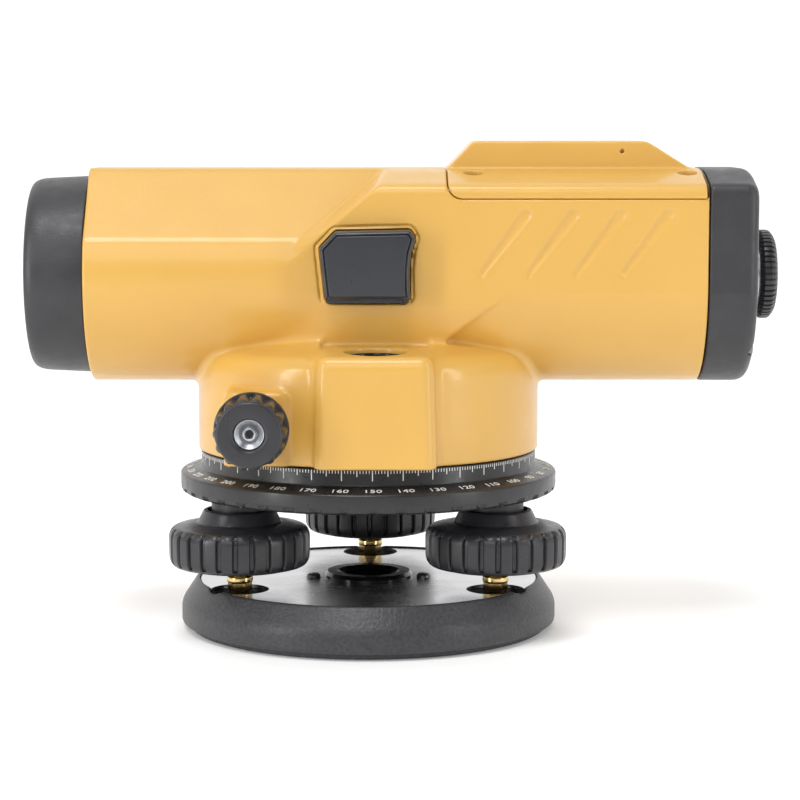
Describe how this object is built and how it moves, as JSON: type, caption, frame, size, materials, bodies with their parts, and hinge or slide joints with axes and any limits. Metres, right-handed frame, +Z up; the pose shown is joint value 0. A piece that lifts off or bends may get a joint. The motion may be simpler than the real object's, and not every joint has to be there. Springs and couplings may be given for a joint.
{
  "type": "automatic level",
  "caption": "Surveying telescope with built-in compensator on a round three-screw base, with graduated circle, fine horizontal drive, focusing knob and circular level.",
  "frame": {"origin": "centre of the tripod thread on the underside of the base plate", "axes": "+X along the line of sight from the objective to the eyepiece, +Z up along the vertical axis"},
  "size_m": [0.213, 0.128, 0.1409],
  "materials": {
    "yellow_paint": "fine textured satin powder coat",
    "black_cast_paint": "dark grey powder coat with fine grain",
    "circle_black": "satin black",
    "dial_white": "printed white",
    "black_plastic": "satin black moulded plastic",
    "knob_plastic": "satin black moulded plastic",
    "gloss_black": "smooth glossy black",
    "bright_plate": "bright satin spring steel",
    "steel": "machined steel",
    "dark_steel": "blackened steel",
    "aluminium": "satin machined aluminium",
    "black_anodised": "matt black anodised",
    "brass": "turned brass",
    "bronze": "turned bronze",
    "optical_glass": "coated optical glass",
    "level_glass": "clear glass over yellow-green liquid",
    "mirror": "front-surface mirror"
  },
  "bodies": {
    "base": {"base_plate": "black_cast_paint", "tripod_bushing": "gloss_black", "spring_plate": "bright_plate", "spring_plate_screws": "dark_steel", "ball_retainers": "dark_steel"},
    "front_screws": {"foot_screw_front_left": "brass", "foot_screw_front_right": "brass"},
    "knob_front_left": {"foot_knob_front_left": "knob_plastic"},
    "knob_front_right": {"foot_knob_front_right": "knob_plastic"},
    "head": {"leveling_head": "black_cast_paint", "foot_screw_bushes": "brass", "spindle": "steel", "spindle_screws": "steel", "spindle_retainer": "steel"},
    "rear_screw": {"foot_screw_rear": "brass"},
    "knob_rear": {"foot_knob_rear": "knob_plastic"},
    "circle": {"horizontal_circle": "circle_black"},
    "wheel": {"worm_wheel": "bronze", "clutch_spring": "steel"},
    "alidade": {"main_housing": "yellow_paint", "axis_bush": "bronze", "top_cover": "yellow_paint", "top_cover_screws": "brass", "rear_cover": "black_plastic", "rear_cover_screws": "dark_steel", "objective_hood": "black_plastic", "objective_cell": "black_anodised", "objective_front_lens": "optical_glass", "objective_rear_lens": "optical_glass", "level_mirror_housing": "black_plastic", "level_mirror": "mirror", "circular_level_case": "black_anodised", "circular_level_glass": "level_glass", "level_adjusting_screws": "steel", "tangent_bushes": "bronze", "focusing_bush": "bronze", "focusing_guide_rings": "black_anodised", "focusing_guide_rods": "steel", "compensator_frame": "aluminium", "fixed_prisms": "optical_glass", "damping_magnets": "dark_steel", "reticle_ring": "brass", "reticle_glass": "optical_glass", "reticle_screws": "steel", "eyepiece_tube": "aluminium", "field_lens": "optical_glass"},
    "tangent_drive": {"tangent_shaft": "steel", "tangent_knob_left": "knob_plastic", "tangent_knob_right": "knob_plastic"},
    "focus_drive": {"focusing_knob": "knob_plastic", "focusing_shaft": "steel"},
    "focus_carriage": {"focusing_carriage": "black_anodised", "focusing_lens": "optical_glass"},
    "pendulum_body": {"pendulum": "brass", "pendulum_prism": "optical_glass", "suspension_wires": "steel"},
    "diopter": {"diopter_ring": "knob_plastic"},
    "eye_cell": {"eye_lens_cell": "black_anodised", "eye_lens": "optical_glass"}
  },
  "joints": [
    {"name": "head_tilt_fore_aft", "type": "hinge", "parent": "base", "child": "front_screws", "pos_m": [0, -0.021, 0.0082], "axis": [1, 0, 0], "range_deg": [-1.1, 1.1]},
    {"name": "front_left_knob_turn", "type": "hinge", "parent": "front_screws", "child": "knob_front_left", "pos_m": [-0.03637, -0.021, 0.027], "axis": [0, 0, 1], "range_deg": [-720, 720]},
    {"name": "front_right_knob_turn", "type": "hinge", "parent": "front_screws", "child": "knob_front_right", "pos_m": [0.03637, -0.021, 0.027], "axis": [0, 0, 1], "range_deg": [-720, 720]},
    {"name": "head_tilt_sideways", "type": "hinge", "parent": "front_screws", "child": "head", "pos_m": [0, 0, 0.0082], "axis": [0, 1, 0], "range_deg": [-1.9, 1.9]},
    {"name": "rear_screw_travel", "type": "slide", "parent": "head", "child": "rear_screw", "axis": [0, 0, 1], "range_m": [-0.00121, 0.00121]},
    {"name": "rear_knob_turn", "type": "hinge", "parent": "rear_screw", "child": "knob_rear", "pos_m": [0, 0.042, 0.027], "axis": [0, 0, 1], "range_deg": [-720, 720]},
    {"name": "circle_turn", "type": "hinge", "parent": "head", "child": "circle", "pos_m": [0, 0, 0.046], "axis": [0, 0, 1], "continuous": true},
    {"name": "swivel", "type": "hinge", "parent": "head", "child": "wheel", "pos_m": [0, 0, 0.062], "axis": [0, 0, 1], "continuous": true},
    {"name": "fine_drive", "type": "hinge", "parent": "wheel", "child": "alidade", "pos_m": [0, 0, 0.062], "axis": [0, 0, 1], "continuous": true},
    {"name": "tangent_knob_turn", "type": "hinge", "parent": "alidade", "child": "tangent_drive", "pos_m": [-0.031, 0, 0.0635], "axis": [0, 1, 0], "continuous": true},
    {"name": "focusing_knob_turn", "type": "hinge", "parent": "alidade", "child": "focus_drive", "pos_m": [0, 0.04, 0.1026], "axis": [0, 1, 0], "range_deg": [-270, 270]},
    {"name": "focusing_travel", "type": "slide", "parent": "alidade", "child": "focus_carriage", "axis": [1, 0, 0], "range_m": [-0.0142, 0.0142]},
    {"name": "pendulum_swing", "type": "hinge", "parent": "alidade", "child": "pendulum_body", "pos_m": [0.051, 0, 0.118], "axis": [0, 1, 0], "range_deg": [-0.25, 0.25]},
    {"name": "diopter_turn", "type": "hinge", "parent": "alidade", "child": "diopter", "pos_m": [0.114, 0, 0.1026], "axis": [1, 0, 0], "range_deg": [-150, 150]},
    {"name": "eye_lens_travel", "type": "slide", "parent": "alidade", "child": "eye_cell", "axis": [1, 0, 0], "range_m": [-0.0016, 0.0016]}
  ],
  "couplings": [
    {"joint": "head_tilt_fore_aft", "follows": "rear_knob_turn", "ratio": -0.0015158},
    {"joint": "rear_screw_travel", "follows": "rear_knob_turn", "m_per_rad": 0.000095493},
    {"joint": "head_tilt_sideways", "follows": "front_left_knob_turn", "ratio": -0.0026254},
    {"joint": "front_right_knob_turn", "follows": "front_left_knob_turn", "ratio": -1},
    {"joint": "fine_drive", "follows": "tangent_knob_turn", "ratio": 0.0090909},
    {"joint": "focusing_travel", "follows": "focusing_knob_turn", "m_per_rad": -0.003},
    {"joint": "eye_lens_travel", "follows": "diopter_turn", "m_per_rad": 0.0006}
  ]
}
